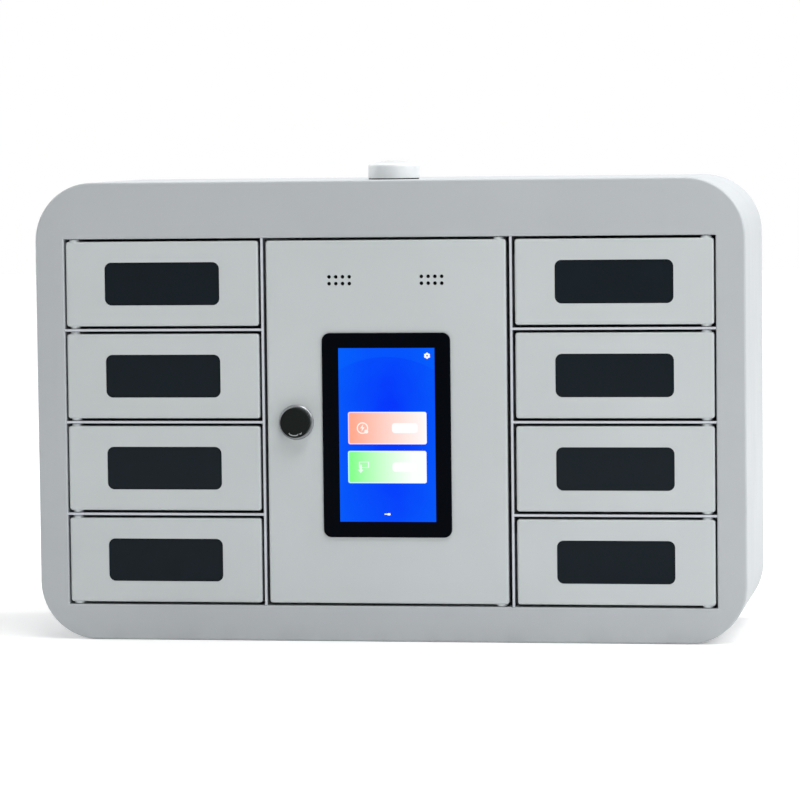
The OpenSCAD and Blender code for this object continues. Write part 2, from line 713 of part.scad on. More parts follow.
// Speakers: a round frame with a magnet behind it, behind each group of sound holes.
basket_rim = 4;                                            // width of the speaker's flat rim
basket_deep = 9;
magnet_r = 11;
magnet_t = 6;
module speakers() color("dimgray") place_service() for (x = [-1, 1])
    translate([x * speaker_x, speaker_y, -door_wall]) rotate([180, 0, 0]) rotate_extrude() {
        translate([speaker_d / 2 - basket_rim, 0]) square([basket_rim, basket_rim / 2]);
        polygon([[0, basket_rim], [speaker_d / 2 - basket_rim, basket_rim / 4],
                 [speaker_d / 2 - basket_rim / 2, basket_rim / 2], [magnet_r, basket_deep],
                 [0, basket_deep]]);
        translate([0, basket_deep]) square([magnet_r, magnet_t]);
    }

// Cam lock
module at_cam_lock() place_service() translate([-lock_x, 0, 0]) children();

module lock_barrel() color("gainsboro") at_cam_lock() difference() {
    union() {
        rotate_extrude() polygon([[0, 0], [rim_d / 2, 0], [rim_d / 2, rim_t - 1], [rim_d / 2 - 1, rim_t],
                                  [0, rim_t]]);
        translate([0, 0, -barrel_len]) cylinder(d = barrel_d, h = barrel_len);
    }
    translate([0, 0, -barrel_len - 1]) cylinder(r = plug_d / 2 + pin_clear, h = barrel_len + rim_t + 2);
    translate([0, cover_pin_up, rim_t - 2]) cylinder(r = cover_pin_r + pin_clear, h = 3);
}

module lock_nut() color("silver") at_cam_lock() translate([0, 0, -door_wall - 4]) difference() {
    cylinder(d = barrel_d + 9, h = 4, $fn = 6);
    translate([0, 0, -1]) cylinder(d = barrel_d + 2 * pin_clear, h = 6);
}

cam_t = 2.5;
cam_w = 14;
module lock_plug() color("goldenrod") at_cam_lock() {
    difference() {
        translate([0, 0, -barrel_len - 0.3]) cylinder(d = plug_d, h = barrel_len + rim_t + 0.3);
        translate([-1.1, -4, rim_t - 8]) cube([2.2, 8, 9]);
    }
    translate([0, 0, -barrel_len - cam_t - 0.3]) intersection() {
        cylinder(r = 4, h = cam_t);
        translate([-3, -5, 0]) cube([6, 10, cam_t]);
    }
    translate([0, 0, -barrel_len - cam_t - 2.3]) cylinder(r = 4.8, h = 2);
}

// The cam is a flat plate that stands upright when the lock is open.
module lock_cam() color("silver") at_cam_lock() translate([0, 0, -barrel_len - cam_t - 0.3]) difference() {
    linear_extrude(cam_t) difference() {
        union() {
            circle(cam_w / 2);
            translate([-cam_w / 2, 0]) square([cam_w, cam_reach - 3]);
            translate([3 - cam_w / 2, 0]) square([cam_w - 6, cam_reach]);
            for (x = [-1, 1]) translate([x * (cam_w / 2 - 3), cam_reach - 3]) circle(3);
        }
        intersection() {
            circle(4);
            square([6, 10], center = true);
        }
    }
}

cover_pin_up = 10.5;
cover_pin_r = 1.2;
cover_lift = 0.3;
module dust_cover() color("black") at_cam_lock() {
    translate([0, 0, rim_t + cover_lift]) rotate_extrude() {
        square([cover_d / 2, cover_t - 1.2]);
        square([cover_d / 2 - 1.2, cover_t]);
        translate([cover_d / 2 - 1.2, cover_t - 1.2]) circle(1.2);
    }
    translate([0, cover_pin_up, rim_t - 1.8]) cylinder(r = cover_pin_r, h = 3);
}

casing();
fascia();
back_panel();
partitions();
side_walls();
shelves();
pivot_pins();
lock_housings();
cable_grommets();
power_supply();
control_board();
power_inlet();
power_rocker();
antenna();
antenna_gasket();
antenna_nut();
back_screws();
service_door();
cover_glass();
screen_panel();
screen_tray();
main_board();
speakers();
lock_barrel();
lock_nut();
lock_plug();
lock_cam();
dust_cover();
for (side = SIDES, row = ROWS) {
    small_door(side, row);
    small_window(side, row);
    strike(side, row);
    claw(side, row);
}
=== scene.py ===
# %% [markdown]
# # Dressing a phone charging locker
# The locker's sheet metal, doors, locks and boards come from its CAD source as a fixed frame.
# This lesson gives every piece its finish and adds what is too fine for the CAD model: the picture
# on the touch screen, the recesses of the screws and the marks on the mains switch.
# All sizes are in metres. X runs to the right, Y from the front to the back and Z up.

# %% Load the fixed frame
import math

import bmesh
import bpy
from mathutils import Matrix, Vector


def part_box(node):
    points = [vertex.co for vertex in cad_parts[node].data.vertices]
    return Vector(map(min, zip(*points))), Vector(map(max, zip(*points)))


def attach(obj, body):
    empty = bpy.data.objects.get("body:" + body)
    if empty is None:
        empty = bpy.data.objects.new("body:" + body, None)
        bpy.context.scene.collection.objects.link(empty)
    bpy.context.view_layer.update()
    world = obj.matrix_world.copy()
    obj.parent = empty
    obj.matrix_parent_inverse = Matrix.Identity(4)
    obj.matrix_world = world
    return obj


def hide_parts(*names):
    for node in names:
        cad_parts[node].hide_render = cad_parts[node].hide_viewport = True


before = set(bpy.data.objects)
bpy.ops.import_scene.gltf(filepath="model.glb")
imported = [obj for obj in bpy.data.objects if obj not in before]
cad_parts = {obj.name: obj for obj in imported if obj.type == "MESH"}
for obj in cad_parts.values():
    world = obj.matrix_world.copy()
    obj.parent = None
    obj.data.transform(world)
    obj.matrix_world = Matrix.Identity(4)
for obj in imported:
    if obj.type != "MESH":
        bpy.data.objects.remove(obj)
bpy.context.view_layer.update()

# %% [markdown]
# ## Camera
# A product photograph like this one is taken from far off with a long lens, which keeps upright
# edges upright. The place, the turn and the lens were worked out from the locker's corners, so they
# are plain numbers. The view stands a little right of the middle and just above the roof.

# %% Camera
MM = 0.001
CAMERA_PLACE = (0.57444, -3.57804, 0.44944)
CAMERA_TURN = (86.16847, 0.66013, 9.14945)
LENS_MM = 181.23
scene = bpy.context.scene
camera_data = bpy.data.cameras.new("camera")
camera_data.sensor_width = 36
camera_data.lens = LENS_MM
camera = bpy.data.objects.new("camera", camera_data)
camera.location = CAMERA_PLACE
camera.rotation_euler = [math.radians(angle) for angle in CAMERA_TURN]
scene.collection.objects.link(camera)
scene.camera = camera
scene.view_settings.view_transform = "Standard"
print("camera at", tuple(camera.location), "lens", camera_data.lens)

# %% [markdown]
# ## Light and floor
# Pale painted metal needs broad, soft lamps. A large one overhead whitens the roof, and one at the
# upper right whitens that side, so the front is left a shade darker. A third hangs high in front.
# It meets the upper bends of the doors squarely, so each gets a thin bright line, and the flat
# front at a slant. One at the left stands behind the front's plane, so it reaches the antenna and
# not the doors. The last, low in front, lightens the front a little more at its right.
# The world fills the rest. It looks plain white to the camera and in reflections, but gives less
# light than that, so that the paint keeps its own tone. The floor works the same way: its glow is
# for the camera and reflections only, and grows with the distance, so the shadow near the locker
# still shows and the far floor ends in plain white.

# %% Light
def link(owner, from_socket, to_socket):
    """Joins two sockets of a material's or the world's nodes."""
    owner.node_tree.links.new(from_socket, to_socket)


def seen_directly(owner):
    """1 where the camera, a reflection or a clear pane looks at this surface, and 0 for light."""
    path = owner.node_tree.nodes.new("ShaderNodeLightPath")
    total = path.outputs["Is Camera Ray"]
    for ray in ("Is Glossy Ray", "Is Transmission Ray"):
        join = owner.node_tree.nodes.new("ShaderNodeMath")
        join.operation = "MAXIMUM"
        link(owner, total, join.inputs[0])
        link(owner, path.outputs[ray], join.inputs[1])
        total = join.outputs[0]
    return total


def soft_lamp(name, spot, aim, size, watts):
    """A rectangular lamp at a spot, turned to face what it aims at. All lengths are in metres."""
    lamp = bpy.data.lights.new(name, "AREA")
    lamp.shape = "RECTANGLE"
    lamp.size, lamp.size_y = size
    lamp.energy = watts
    holder = bpy.data.objects.new(name, lamp)
    holder.location = spot
    holder.rotation_euler = (Vector(aim) - Vector(spot)).to_track_quat("-Z", "Y").to_euler()
    scene.collection.objects.link(holder)
    print("lamp", name, watts, "W")


FILL_LIGHT = 0.1
world = bpy.data.worlds.new("studio")
world.use_nodes = True
scene.world = world
sky = world.node_tree.nodes["Background"]
sky.inputs["Color"].default_value = (1, 1, 1, 1)
sky_strength = world.node_tree.nodes.new("ShaderNodeMapRange")
sky_strength.inputs["To Min"].default_value = FILL_LIGHT
sky_strength.inputs["To Max"].default_value = 1
link(world, seen_directly(world), sky_strength.inputs["Value"])
link(world, sky_strength.outputs[0], sky.inputs["Strength"])
soft_lamp("overhead", (0.2, 0.45, 2.0), (0, 0.1, 0.2), (2.2, 1.2), 20)
soft_lamp("high_front", (0.9, -1.4, 3.4), (0, 0, 0.2), (2.2, 1.2), 54.5)
soft_lamp("right_side", (2.2, 0.1, 1.8), (0.3, 0, 0.25), (1.6, 1.4), 32)
soft_lamp("left_side", (-2.4, 0.5, 0.9), (-0.2, 0, 0.25), (1.6, 1.4), 28)
soft_lamp("front", (1.5, -2.1, 0.7), (0.15, 0, 0.15), (1.4, 1.0), 13)

# %% Floor
NEAR_GLOW = 0.3
FAR_GLOW = 1.0
GLOW_STARTS = 0.5
GLOW_FULL = 1.7
FLOOR_REACH = 9
floor_bm = bmesh.new()
bmesh.ops.create_grid(floor_bm, x_segments=1, y_segments=1, size=FLOOR_REACH)
floor_mesh = bpy.data.meshes.new("floor")
floor_bm.to_mesh(floor_mesh)
floor_bm.free()
floor = bpy.data.objects.new("floor", floor_mesh)
scene.collection.objects.link(floor)
pale_floor = bpy.data.materials.new("pale_floor")
pale_floor.use_nodes = True
floor_shader = pale_floor.node_tree.nodes["Principled BSDF"]
floor_shader.inputs["Base Color"].default_value = (0.86, 0.86, 0.86, 1)
floor_shader.inputs["Roughness"].default_value = 0.9
floor_shader.inputs["Specular IOR Level"].default_value = 0.1
floor_shader.inputs["Emission Color"].default_value = (1, 1, 1, 1)
floor_place = pale_floor.node_tree.nodes.new("ShaderNodeTexCoord")
floor_reach = pale_floor.node_tree.nodes.new("ShaderNodeVectorMath")
floor_reach.operation = "LENGTH"
link(pale_floor, floor_place.outputs["Object"], floor_reach.inputs[0])
floor_rise = pale_floor.node_tree.nodes.new("ShaderNodeMapRange")
floor_rise.inputs["From Min"].default_value = GLOW_STARTS
floor_rise.inputs["From Max"].default_value = GLOW_FULL
floor_rise.inputs["To Min"].default_value = NEAR_GLOW
floor_rise.inputs["To Max"].default_value = FAR_GLOW
link(pale_floor, floor_reach.outputs["Value"], floor_rise.inputs["Value"])
floor_glow = pale_floor.node_tree.nodes.new("ShaderNodeMath")
floor_glow.operation = "MULTIPLY"
link(pale_floor, floor_rise.outputs[0], floor_glow.inputs[1])
link(pale_floor, seen_directly(pale_floor), floor_glow.inputs[0])
link(pale_floor, floor_glow.outputs[0], floor_shader.inputs["Emission Strength"])
floor_mesh.materials.append(pale_floor)
print("floor", [round(v, 2) for v in floor.dimensions])

# %% [markdown]
# ## A small kit for finishes
# Every finish below is built from the same few steps: a pattern measured in millimetres on the
# object itself, its values turned into a tone or a roughness, and the same pattern used as a
# shallow relief. Helpers for these steps keep each finish down to a few lines, like a recipe.

# %% Colours
def srgb(red, green, blue):
    """A colour picker's 0-255 numbers as the linear colour that a shader takes."""
    linear = []
    for value in (red, green, blue):
        value /= 255
        linear.append(((value + 0.055) / 1.055) ** 2.4 if value > 0.04045 else value / 12.92)
    return (*linear, 1)


def toned(colour, factor):
    """A colour made darker (below 1) or lighter (above 1)."""
    return (*[min(1, channel * factor) for channel in colour[:3]], 1)


print("mid grey is", round(srgb(128, 128, 128)[0], 3), "as linear light")


# %% Nodes
def new_finish(name, roughness=0.5, metallic=0.0):
    """A new material and its shader."""
    finish = bpy.data.materials.new(name)
    finish.use_nodes = True
    shader = finish.node_tree.nodes["Principled BSDF"]
    shader.inputs["Roughness"].default_value = roughness
    shader.inputs["Metallic"].default_value = metallic
    return finish, shader


def step(finish, kind, inputs, **settings):
    """Adds a node. Its inputs are numbers, colours or outputs. Returns its first output."""
    made = finish.node_tree.nodes.new("ShaderNode" + kind)
    for key, value in settings.items():
        setattr(made, key, value)
    for key, value in inputs.items():
        if isinstance(value, bpy.types.NodeSocket):
            link(finish, value, made.inputs[key])
        else:
            made.inputs[key].default_value = value
    return made.outputs[0]


def remap(finish, value, low, high, start=0.3, end=0.7):
    """Turns start..end into low..high. The usual noise lies between 0.3 and 0.7."""
    return step(finish, "MapRange", {"Value": value, "From Min": start, "From Max": end,
                                     "To Min": low, "To Max": high})


def combine(finish, first, second, operation="ADD"):
    """One sum, product or comparison of two values."""
    return step(finish, "Math", {0: first, 1: second}, operation=operation)


def mix_colours(finish, factor, first, second):
    """The first colour where the factor is 0, and the second where it is 1."""
    mixer = finish.node_tree.nodes.new("ShaderNodeMix")
    mixer.data_type = "RGBA"
    sockets = [mixer.inputs[number] for number in (0, 6, 7)]
    for socket, value in zip(sockets, (factor, first, second)):
        if isinstance(value, bpy.types.NodeSocket):
            link(finish, value, socket)
        else:
            socket.default_value = value
    return mixer.outputs[2]


print("node helpers ready")


# %% Patterns
def place_on(finish, stretch=(1, 1, 1)):
    """The place on the object itself, so that a pattern moves with its piece."""
    coords = finish.node_tree.nodes.new("ShaderNodeTexCoord").outputs["Object"]
    if stretch == (1, 1, 1):
        return coords
    return step(finish, "Mapping", {"Vector": coords, "Scale": stretch})


def mottle(finish, size_mm, detail=2.0, stretch=(1, 1, 1)):
    """Soft blotches about size_mm across, from 0 to 1."""
    where = place_on(finish, stretch)
    return step(finish, "TexNoise", {"Vector": where, "Scale": 1000 / size_mm, "Detail": detail})


def axis_value(finish, axis):
    """The X, Y or Z place on the object, in metres."""
    split = finish.node_tree.nodes.new("ShaderNodeSeparateXYZ")
    link(finish, place_on(finish), split.inputs[0])
    return split.outputs["XYZ".index(axis)]


def within(finish, axis, low, high):
    """1 between two places along an axis, and 0 outside them."""
    value = axis_value(finish, axis)
    above = combine(finish, value, low, "GREATER_THAN")
    below = combine(finish, value, high, "LESS_THAN")
    return combine(finish, above, below, "MULTIPLY")


def relief(finish, shader, height, depth_mm):
    """Uses a pattern as a shallow relief of that depth."""
    bump = step(finish, "Bump", {"Height": height, "Distance": depth_mm * MM, "Strength": 1.0})
    link(finish, bump, shader.inputs["Normal"])


print("pattern helpers ready")

# %% [markdown]
# ## Powder-coated steel
# The casing and the doors are powder coated. The powder melts into a skin that is never quite flat:
# close to, it has the faint dimples called orange peel, with a fine dust-like grain in them.
# A noise 1.6 mm across makes the dimples and one of 0.35 mm makes the grain. A much broader noise
# drifts the tone and the gloss a little, as hands and cloths do over the years. Close to the edge
# that the locker stands on, a thin broken band is a bit darker, where a mop has rubbed against it.
# Behind their front edges the doors' skirts and the folded sheets between them are painted darker:
# painted shade for the narrow gaps between the parts, where little light reaches. This painted fold
# shade is five numbers. Four are depths along Y in millimetres: where it starts, is darkest, starts
# to fade and has faded. The fifth is its darkest tone.

# %% Powder coat
def powder_coat(name, colour, roughness, painted_fold_shade=None):
    """Powder-coated steel of one colour, with or without painted shade in its folds."""
    finish, shader = new_finish(name, roughness)
    peel = mottle(finish, 1.6, detail=1.5)
    grain = mottle(finish, 0.35, detail=1.0)
    drift = mottle(finish, 130, detail=3.0)
    wiped = mottle(finish, 34, detail=4.0, stretch=(1, 1, 0.35))
    drifting = remap(finish, drift, 0, 1)
    tone = mix_colours(finish, drifting, toned(colour, 0.965), toned(colour, 1.02))
    speck = remap(finish, grain, 0.0, 0.055, 0.25, 0.75)
    tone = mix_colours(finish, speck, tone, toned(colour, 0.55))
    low_edge = remap(finish, axis_value(finish, "Z"), 1, 0, 0.001, 0.016)
    rubbed = combine(finish, low_edge, remap(finish, wiped, 0, 0.3, 0.45, 0.7), "MULTIPLY")
    tone = mix_colours(finish, rubbed, tone, toned(colour, 0.6))
    # Painted shade: the coat is darker behind the front edges, in the gaps between the parts.
    if painted_fold_shade:
        front_mm, full_mm, back_mm, clear_mm, darkest = painted_fold_shade
        depth = axis_value(finish, "Y")
        starts = remap(finish, depth, 0, 1, front_mm * MM, full_mm * MM)
        ends = remap(finish, depth, 1, 0.1, back_mm * MM, clear_mm * MM)
        fold_shade = combine(finish, starts, ends, "MULTIPLY")
        tone = mix_colours(finish, fold_shade, tone, toned(colour, darkest))
    link(finish, tone, shader.inputs["Base Color"])
    gloss = remap(finish, wiped, roughness - 0.05, roughness + 0.06)
    link(finish, gloss, shader.inputs["Roughness"])
    fine = combine(finish, grain, 0.35, "MULTIPLY")
    relief(finish, shader, combine(finish, peel, fine), 0.035)
    return finish


CASING_GREY = srgb(192, 197, 200)
DOOR_GREY = srgb(208, 214, 215)
INNER_GREY = srgb(214, 219, 226)
casing_powder = powder_coat("casing_powder", CASING_GREY, 0.46)
door_powder = powder_coat("door_powder", DOOR_GREY, 0.44, painted_fold_shade=(-98.9, -96, -60, -30, 0.45))
inner_powder = powder_coat("inner_powder", INNER_GREY, 0.5, painted_fold_shade=(-99.4, -97.6, -62, -30, 0.3))
print("powder coats:", casing_powder.name, door_powder.name, inner_powder.name)

# %% [markdown]
# ## Galvanised sheet, cast zinc and bright steel
# Zinc on sheet steel freezes into crystals, the spangle, each catching the light in its own tone.
# Voronoi cells stand for the crystals: one random value for each shifts its tone and its gloss.
# Turned and drawn metal has fine lines instead, made by a noise that is stretched along one way.

# %% Metals
def spangled_zinc(name, colour, spangle_mm=7.0):
    """Galvanised sheet with crystals of that size."""
    finish, shader = new_finish(name, 0.4, 0.9)
    cells = finish.node_tree.nodes.new("ShaderNodeTexVoronoi")
    cells.inputs["Scale"].default_value = 1000 / spangle_mm
    cells.inputs["Randomness"].default_value = 1
    link(finish, place_on(finish), cells.inputs["Vector"])
    crystal = step(finish, "SeparateColor", {"Color": cells.outputs["Color"]})
    tone = mix_colours(finish, crystal, toned(colour, 0.82), toned(colour, 1.1))
    dull = remap(finish, mottle(finish, 40, 4), 0, 0.25)
    tone = mix_colours(finish, dull, tone, toned(colour, 0.7))
    link(finish, tone, shader.inputs["Base Color"])
    link(finish, remap(finish, crystal, 0.32, 0.5, 0, 1), shader.inputs["Roughness"])
    relief(finish, shader, combine(finish, crystal, mottle(finish, 1.2)), 0.02)
    return finish


def drawn_metal(name, colour, roughness, stretch):
    """Bare metal with fine lines. The lines run along the axis whose stretch is below 1."""
    finish, shader = new_finish(name, roughness, 1.0)
    lines = mottle(finish, 0.8, 3, stretch)
    shade = remap(finish, lines, 0, 1)
    tone = mix_colours(finish, shade, toned(colour, 0.86), toned(colour, 1.08))
    link(finish, tone, shader.inputs["Base Color"])
    smudges = remap(finish, mottle(finish, 5, 3), 0, 0.08)
    worn = combine(finish, remap(finish, lines, -0.05, 0.06), smudges)
    link(finish, combine(finish, worn, roughness), shader.inputs["Roughness"])
    relief(finish, shader, lines, 0.008)
    return finish


galvanised_sheet = spangled_zinc("galvanised_sheet", srgb(196, 199, 203))
zinc_fittings = drawn_metal("zinc_fittings", srgb(190, 193, 196), 0.34, (1, 0.2, 1))
yellow_zinc = drawn_metal("yellow_zinc", srgb(206, 172, 96), 0.3, (1, 0.3, 1))
bright_ring = drawn_metal("bright_ring", srgb(134, 137, 139), 0.3, (1, 1, 0.2))
brass_plug = drawn_metal("brass_plug", srgb(206, 168, 92), 0.26, (1, 1, 0.25))
dark_pins = drawn_metal("dark_pins", srgb(86, 88, 92), 0.38, (1, 1, 0.2))
print("metals:", galvanised_sheet.name, bright_ring.name, brass_plug.name)

# %% [markdown]
# ## Plastics, rubber and glass
# Moulded plastic copies the spark-eroded grain of its mould, so it gets a fine even relief.
# Rubber is rougher and takes dust. The windows are smoke-dark acrylic: almost black, smooth, and
# lit only by what they mirror, so most of their work is in a low, slightly uneven roughness.
# The antenna's shell has to let radio waves through, so it is unpainted plastic, and some light
# wanders through it too: subsurface scattering evens out its lit and its shaded side. Its top,
# which starts a little under 420 mm, is painted darker in a dust-like mottle: painted shade against
# the strong light from above.

# %% Plastics, rubber and acrylic
def moulded(name, colour, roughness, grain_mm=0.5, depth_mm=0.012, level=0.5):
    """Plastic, rubber or glass. The level is how strongly the surface mirrors."""
    finish, shader = new_finish(name, roughness)
    shader.inputs["Specular IOR Level"].default_value = level
    grain = mottle(finish, grain_mm, 2)
    haze = mottle(finish, 22, 4)
    hazy = remap(finish, haze, 0, 1)
    tone = mix_colours(finish, hazy, toned(colour, 0.93), toned(colour, 1.05))
    link(finish, tone, shader.inputs["Base Color"])
    uneven = remap(finish, haze, roughness - 0.04, roughness + 0.07)
    link(finish, uneven, shader.inputs["Roughness"])
    relief(finish, shader, grain, depth_mm)
    return finish


def antenna_plastic(name, colour):
    """Pale plastic that light wanders through, its top painted darker in a dust-like mottle as
    painted shade.
    """
    finish = moulded(name, colour, 0.45)
    shader = finish.node_tree.nodes["Principled BSDF"]
    shader.inputs["Subsurface Weight"].default_value = 0.4
    shader.inputs["Subsurface Radius"].default_value = (1, 1, 1)
    shader.inputs["Subsurface Scale"].default_value = 0.008
    clean = shader.inputs["Base Color"].links[0].from_socket
    # Painted shade: the top is darkened, in a dust-like mottle, to hold back the overhead light.
    top = remap(finish, axis_value(finish, "Z"), 0, 1, 0.4196, 0.4214)
    top_shade = combine(finish, top, remap(finish, mottle(finish, 7, 3), 0.75, 1), "MULTIPLY")
    shaded_top = mix_colours(finish, top_shade, clean, toned(colour, 0.7))
    link(finish, shaded_top, shader.inputs["Base Color"])
    return finish


matt_moulding = moulded("matt_moulding", srgb(38, 39, 41), 0.55, 0.7, 0.03)
white_moulding = moulded("white_moulding", srgb(226, 228, 228), 0.42)
antenna_shell = antenna_plastic("antenna_shell", srgb(232, 235, 236))
soft_rubber = moulded("soft_rubber", srgb(34, 35, 37), 0.8, 0.9, 0.04, 0.3)
red_moulding = moulded("red_moulding", srgb(176, 22, 20), 0.25)
cover_black = moulded("cover_black", srgb(17, 22, 20), 0.42, level=0.09)
# Black speakers, darker and duller than the other black plastic: partly their own colour, partly
# painted shade inside the holes in front of them.
speaker_black_shade = moulded("speaker_black_shade", srgb(15, 16, 17), 0.6, 0.8, 0.02, 0.1)
smoked_acrylic = moulded("smoked_acrylic", srgb(17, 28, 35), 0.1, 3.0, 0.002, 0.08)
screen_border = moulded("screen_border", srgb(1, 4, 11), 0.09, 4.0, 0.002, 0.02)
print("plastics and glass ready")

# %% [markdown]
# ## Circuit boards
# A board, its relays and its sockets are one CAD piece here, as they leave the factory soldered
# together. So one finish tells them apart by place: on the control board by their height above its
# lower edge, and on the screen's board by how far they stand out behind it. The green lacquer shows
# the copper tracks under it as lighter lines, which are the joints of a small brick pattern.

# %% Boards
def board_finish(name, zones):
    """Green lacquer with tracks, and zones of other colours: (axis limits, colour) for each."""
    finish, shader = new_finish(name, 0.35)
    tracks = finish.node_tree.nodes.new("ShaderNodeTexBrick")
    tracks.inputs["Scale"].default_value = 90
    tracks.inputs["Mortar Size"].default_value = 0.012
    tracks.inputs["Bias"].default_value = 0.0
    tracks.inputs["Color1"].default_value = srgb(18, 84, 52)
    tracks.inputs["Color2"].default_value = srgb(22, 96, 60)
    tracks.inputs["Mortar"].default_value = srgb(70, 150, 96)
    turned = step(finish, "Mapping", {"Vector": place_on(finish), "Rotation": (math.pi / 2, 0, 0)})
    link(finish, turned, tracks.inputs["Vector"])
    tone = tracks.outputs["Color"]
    for limits, colour in zones:
        mask = None
        for axis, (low, high) in limits.items():
            inside = within(finish, axis, low, high)
            mask = inside if mask is None else combine(finish, mask, inside, "MULTIPLY")
        speckle = mottle(finish, 1.5, 3)
        speckled = mix_colours(finish, speckle, toned(colour, 0.85), toned(colour, 1.1))
        tone = mix_colours(finish, mask, tone, speckled)
    link(finish, tone, shader.inputs["Base Color"])
    link(finish, remap(finish, mottle(finish, 9, 3), 0.28, 0.48), shader.inputs["Roughness"])
    relief(finish, shader, mottle(finish, 1.1), 0.02)
    return finish


# How far the parts stand out in front of the control board, and their zones. Each zone is from and
# to, in millimetres above the board's lower edge, with its colour.
PARTS_OUT = 13.95
board_low, board_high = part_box("control_board")
board_height = (board_high.z - board_low.z) * 1000
part_zones = (
    (41, 60.5, srgb(34, 92, 170)),
    (-1, 17, srgb(40, 40, 42)),
    (61, board_height - 5, srgb(226, 222, 206)),
    (20, 40, srgb(34, 34, 36)),
)
in_front = (board_low.y - MM, board_low.y + PARTS_OUT * MM)
lock_board = board_finish("lock_board", [
    ({"Y": in_front, "Z": (board_low.z + low * MM, board_low.z + high * MM)}, colour)
    for low, high, colour in part_zones])

PARTS_BEHIND = 7.9
main_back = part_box("main_board")[1].y
screen_board = board_finish("screen_board", [
    ({"Y": (main_back - PARTS_BEHIND * MM, main_back + MM)}, srgb(46, 48, 52))])
print("board finishes:", lock_board.name, screen_board.name)

# %% [markdown]
# ## Assign the finishes
# Each CAD piece keeps its shape and gets the finish of the real one. The names come from the
# frame's own list, so a piece that was forgotten would show up here at once. The numbered pieces of
# the cells, such as door_left_1, share one entry under their first word.

# %% Assign the finishes
finish_of = {
    "casing": casing_powder, "fascia": casing_powder, "back_panel": casing_powder,
    "partitions": inner_powder, "shelves": inner_powder, "side_walls": inner_powder,
    "pivot_pins": dark_pins, "lock_housings": zinc_fittings, "cable_grommets": soft_rubber,
    "power_supply": galvanised_sheet, "control_board": lock_board, "power_inlet": matt_moulding,
    "power_rocker": red_moulding, "antenna": antenna_shell, "antenna_gasket": soft_rubber,
    "antenna_nut": zinc_fittings, "back_screws": zinc_fittings, "service_door": door_powder,
    "cover_glass": screen_border, "screen_panel": screen_border, "screen_tray": galvanised_sheet,
    "main_board": screen_board, "speakers": speaker_black_shade, "lock_barrel": bright_ring,
    "lock_nut": zinc_fittings, "lock_plug": brass_plug, "lock_cam": zinc_fittings,
    "dust_cover": cover_black, "door": door_powder, "window": smoked_acrylic,
    "strike": zinc_fittings, "claw": yellow_zinc,
}
for node_name, cad_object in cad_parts.items():
    kind = node_name if node_name in finish_of else node_name.split("_")[0]
    cad_object.data.materials.clear()
    cad_object.data.materials.append(finish_of[kind])
print(len(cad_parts), "CAD pieces finished")

# %% [markdown]
# ## Flat pieces seen from the front
# The picture on the screen is made of thin flat pieces: plates with rounded corners, rings and a
# gear. Each is drawn in X and Y as one face, pulled up into a thin plate, and then stood upright to
# face the front. Only then does it move to its place, so its object stays at the origin. Smooth
# shading is for round shapes: their edges over SHARP_ANGLE stay crisp.

# %% Kit for flat pieces
UPRIGHT = Matrix.Rotation(math.radians(90), 4, "X")
SHARP_ANGLE = math.radians(40)


def plate_outline(width, height, radius):
    """One flat face with rounded corners, in millimetres, around the origin."""
    bm = bmesh.new()
    bmesh.ops.create_grid(bm, x_segments=1, y_segments=1, size=0.5)
    bmesh.ops.scale(bm, vec=(width, height, 1), verts=bm.verts[:])
    if radius:
        bmesh.ops.bevel(bm, geom=bm.verts[:], offset=radius, offset_type="OFFSET",
                        affect="VERTICES", segments=5, profile=0.5, material=-1)
    return bm


def thicken(bm, thickness):
    """Pulls the flat faces up into a closed plate of that thickness."""
    pulled = bmesh.ops.extrude_face_region(bm, geom=bm.faces[:], use_keep_orig=True)
    moved = [item for item in pulled["geom"] if isinstance(item, bmesh.types.BMVert)]
    bmesh.ops.translate(bm, vec=(0, 0, thickness), verts=moved)
    bmesh.ops.recalc_face_normals(bm, faces=bm.faces[:])


def hang(bm, name, finish, body, spot):
    """Stands a piece upright at its spot, in millimetres, and makes it an object."""
    bmesh.ops.transform(bm, matrix=UPRIGHT, verts=bm.verts[:])
    bmesh.ops.translate(bm, vec=spot, verts=bm.verts[:])
    bmesh.ops.scale(bm, vec=(MM, MM, MM), verts=bm.verts[:])
    finish_piece(bm, name, finish, body)


def finish_piece(bm, name, finish, body, smooth=False):
    """Makes a closed shape an object that rides on a body and has that material slot."""
    bmesh.ops.recalc_face_normals(bm, faces=bm.faces[:])
    mesh = bpy.data.meshes.new(name)
    for face in bm.faces:
        face.smooth = smooth
    for edge in bm.edges:
        edge.smooth = edge.calc_face_angle() < SHARP_ANGLE
    bm.to_mesh(mesh)
    bm.free()
    mesh.materials.append(finish)
    piece = bpy.data.objects.new(name, mesh)
    scene.collection.objects.link(piece)
    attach(piece, body)
    print(name, len(mesh.polygons), "faces")
    return piece


print("flat kit ready")

# %% [markdown]
# ## Finishes for the lit picture
# A screen makes its own light, so its colours are emission, with a black base and a smooth glassy
# surface on top. On the buttons one colour slowly turns into the next along X. The picture's ground
# is deepest down its middle and a shade paler outside one large arc.

# %% Finishes for the lit picture
def lit_finish(name, shade_of):
    """A glowing finish with smeared glass, whose colour shade_of(finish) makes."""
    finish, shader = new_finish(name, 0.12)
    shader.inputs["Base Color"].default_value = (0, 0, 0, 1)
    shader.inputs["Specular IOR Level"].default_value = 0.02
    shader.inputs["Emission Strength"].default_value = 1
    link(finish, shade_of(finish), shader.inputs["Emission Color"])
    smears = remap(finish, mottle(finish, 14, 3), 0.08, 0.18)
    link(finish, smears, shader.inputs["Roughness"])
    return finish


def lit_across(name, left_colour, right_colour, left_mm, right_mm):
    """One colour at the left, another at the right, and a faint unevenness of the pixels."""
    def shade_of(finish):
        along = remap(finish, axis_value(finish, "X"), 0, 1, left_mm * MM, right_mm * MM)
        shade = mix_colours(finish, along, left_colour, right_colour)
        pixels = remap(finish, mottle(finish, 3, 3), 0, 0.04)
        return mix_colours(finish, pixels, shade, (1, 1, 1, 1))

    return lit_finish(name, shade_of)


